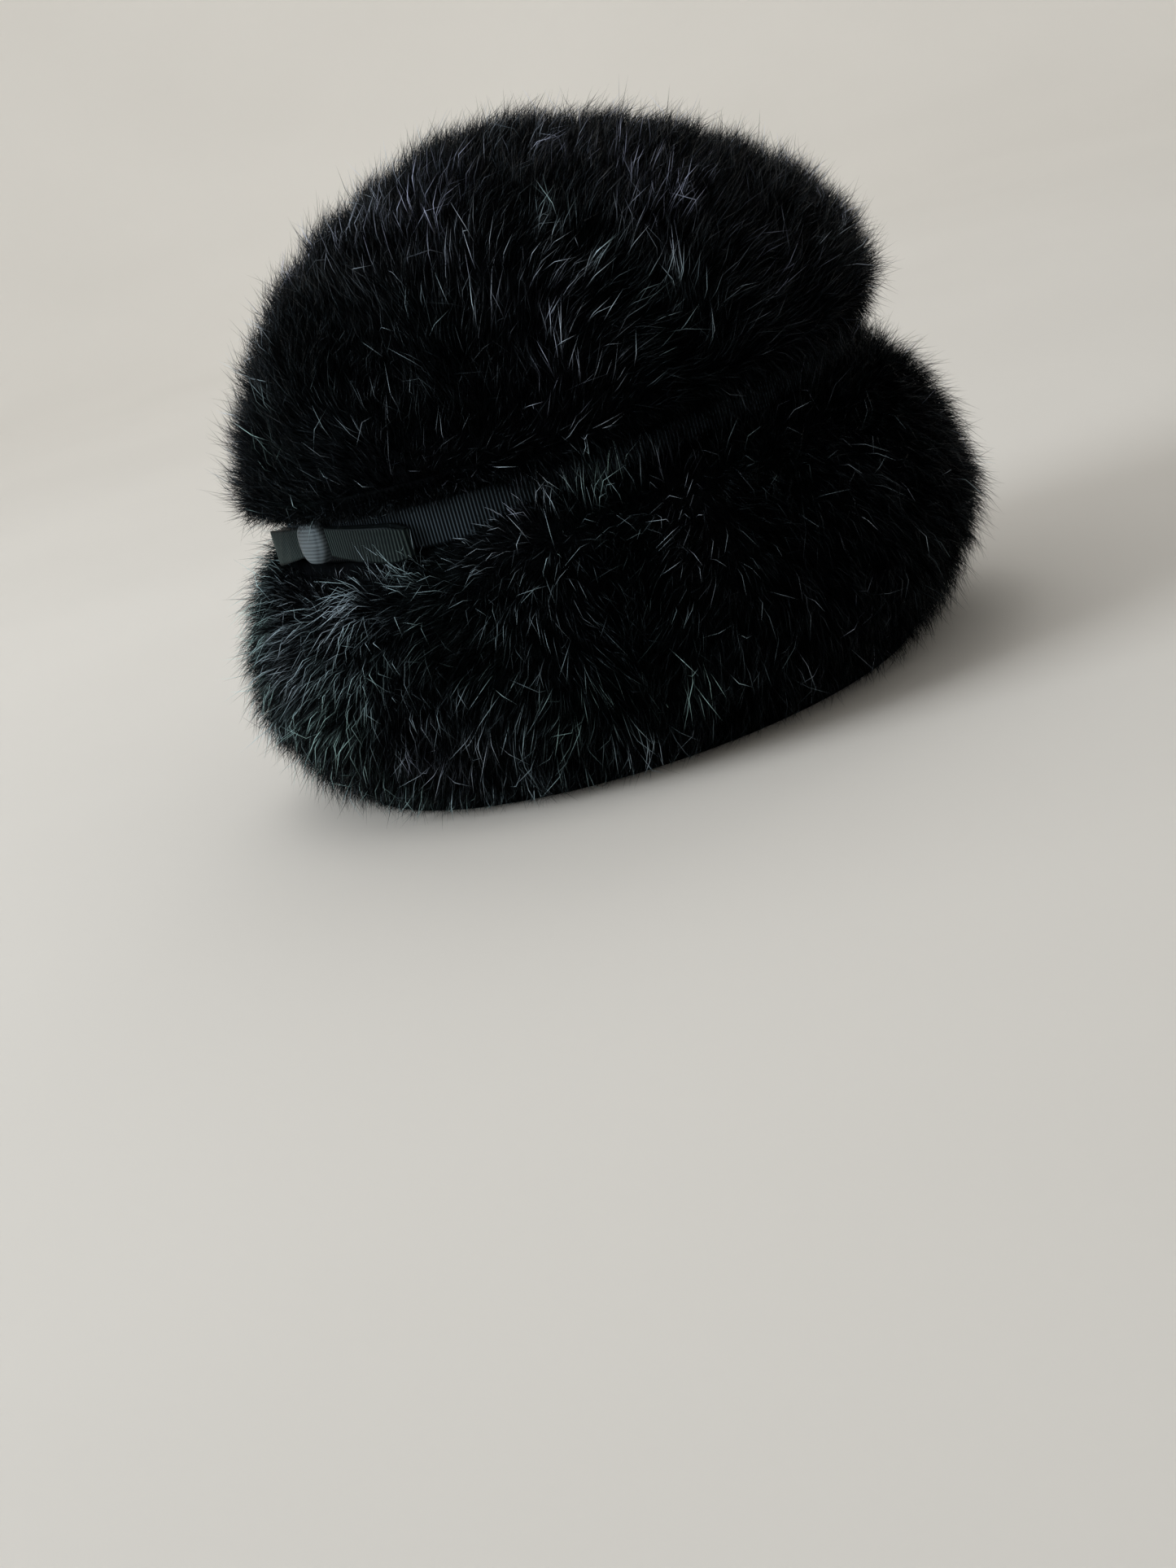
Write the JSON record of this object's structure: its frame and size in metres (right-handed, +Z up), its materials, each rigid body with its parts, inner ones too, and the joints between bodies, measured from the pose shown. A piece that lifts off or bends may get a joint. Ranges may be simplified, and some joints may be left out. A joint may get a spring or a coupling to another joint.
{
  "type": "fur hat",
  "caption": "Domed black fur hat with a padded fur brim turned up all round, a ribbed ribbon band in the crease and a flat bow at the back.",
  "frame": {"origin": "centre of the hat's outline on the surface that the rim rests on", "axes": "+Z up out of the crown, -Y towards the front of the hat, +Y towards the bow, +X to the wearer's left"},
  "size_m": [0.2424, 0.273, 0.1996],
  "materials": {
    "fur": "black long-pile fur with a cool sheen on its hair tips, on a plain black woven backing",
    "ribbon": "black ribbed grosgrain ribbon with a soft satin sheen"
  },
  "bodies": {
    "root": {"crown": "fur", "brim": "fur", "ribbon_band": "ribbon", "bow_knot": "ribbon", "bow_loop_right": "ribbon", "bow_loop_left": "ribbon"}
  },
  "joints": []
}
